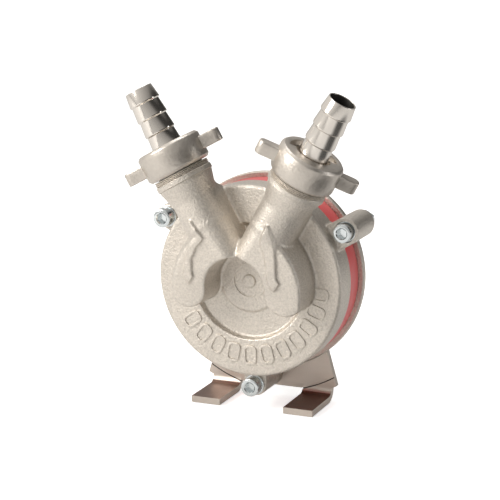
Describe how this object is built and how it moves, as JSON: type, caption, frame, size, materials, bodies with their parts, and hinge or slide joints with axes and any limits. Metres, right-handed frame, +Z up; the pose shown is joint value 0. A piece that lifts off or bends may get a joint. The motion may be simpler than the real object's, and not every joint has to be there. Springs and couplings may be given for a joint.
{
  "type": "self-priming impeller pump",
  "caption": "Shaft-driven self-priming boat pump: cast drum with angled hose ports, wing-nut hose tails, red chamber ring and bent sheet feet.",
  "frame": {"origin": "centre of the bounding box at the level of the feet's undersides", "axes": "+Z up; +Y along the drive shaft from the front cover to the drive end; +X to the right seen from the front; the shaft axis is at x = 0, z = 71.1 mm"},
  "size_m": [0.1246, 0.1212, 0.1743],
  "materials": {
    "casting": "blasted, matt nickel-plated bronze casting",
    "polished": "turned and polished, nickel plated",
    "zinc": "bright zinc-plated steel",
    "foot_sheet": "satin nickel-plated steel sheet",
    "steel": "ground stainless steel",
    "bronze": "machined bronze",
    "red_ring": "soft satin red",
    "rubber": "black nitrile rubber",
    "ceramic": "lapped white ceramic"
  },
  "bodies": {
    "pump_body": {"front_cover": "casting", "chamber_ring": "red_ring", "cover_o_ring": "rubber", "backplate_o_ring": "rubber", "backplate": "casting", "mounting_bracket": "foot_sheet", "seal_seat": "ceramic", "front_bearing_outer_race": "steel", "rear_bearing_outer_race": "steel", "bearing_spacer": "steel", "housing_circlip": "steel", "upper_right_clamp_screw": "zinc", "upper_right_clamp_washer": "zinc", "upper_right_rear_washer": "zinc", "upper_right_clamp_nut": "zinc", "upper_left_clamp_screw": "zinc", "upper_left_clamp_washer": "zinc", "upper_left_rear_washer": "zinc", "upper_left_clamp_nut": "zinc", "lower_clamp_screw": "zinc", "lower_clamp_washer": "zinc", "lower_rear_washer": "zinc", "lower_clamp_nut": "zinc", "right_bracket_screw": "zinc", "right_bracket_washer": "zinc", "left_bracket_screw": "zinc", "left_bracket_washer": "zinc", "left_tail_gasket": "rubber", "right_tail_gasket": "rubber"},
    "rotor": {"drive_shaft": "steel", "impeller": "bronze", "impeller_key": "steel", "drive_key": "steel", "rotor_circlip": "steel", "seal_bellows": "rubber", "front_bearing_inner_race": "steel", "rear_bearing_inner_race": "steel"},
    "front_cage": {"front_bearing_balls": "steel"},
    "rear_cage": {"rear_bearing_balls": "steel"},
    "left_tail": {"left_hose_tail": "polished"},
    "left_nut": {"left_wing_nut": "casting"},
    "right_tail": {"right_hose_tail": "polished"},
    "right_nut": {"right_wing_nut": "casting"}
  },
  "joints": [
    {"name": "rotor_spin", "type": "hinge", "parent": "pump_body", "child": "rotor", "pos_m": [0, 0.00863, 0.0711], "axis": [0, 1, 0], "continuous": true},
    {"name": "front_cage_spin", "type": "hinge", "parent": "pump_body", "child": "front_cage", "pos_m": [0, 0.01392, 0.0711], "axis": [0, 1, 0], "continuous": true},
    {"name": "rear_cage_spin", "type": "hinge", "parent": "pump_body", "child": "rear_cage", "pos_m": [0, 0.02952, 0.0711], "axis": [0, 1, 0], "continuous": true},
    {"name": "left_tail_lift", "type": "slide", "parent": "pump_body", "child": "left_tail", "axis": [-0.4844, -0.0419, 0.8739], "range_m": [0, 0.0064]},
    {"name": "left_nut_turn", "type": "hinge", "parent": "left_tail", "child": "left_nut", "pos_m": [-0.0333, -0.04267, 0.13], "axis": [-0.4844, -0.0419, 0.8739], "range_deg": [0, 1260]},
    {"name": "right_tail_lift", "type": "slide", "parent": "pump_body", "child": "right_tail", "axis": [0.4844, -0.0419, 0.8739], "range_m": [0, 0.0064]},
    {"name": "right_nut_turn", "type": "hinge", "parent": "right_tail", "child": "right_nut", "pos_m": [0.0333, -0.04267, 0.13], "axis": [0.4844, -0.0419, 0.8739], "range_deg": [0, 1260]}
  ],
  "couplings": [
    {"joint": "front_cage_spin", "follows": "rotor_spin", "ratio": 0.4},
    {"joint": "rear_cage_spin", "follows": "rotor_spin", "ratio": 0.4},
    {"joint": "left_tail_lift", "follows": "left_nut_turn", "m_per_rad": 0.00028871},
    {"joint": "right_tail_lift", "follows": "right_nut_turn", "m_per_rad": 0.00028871}
  ]
}
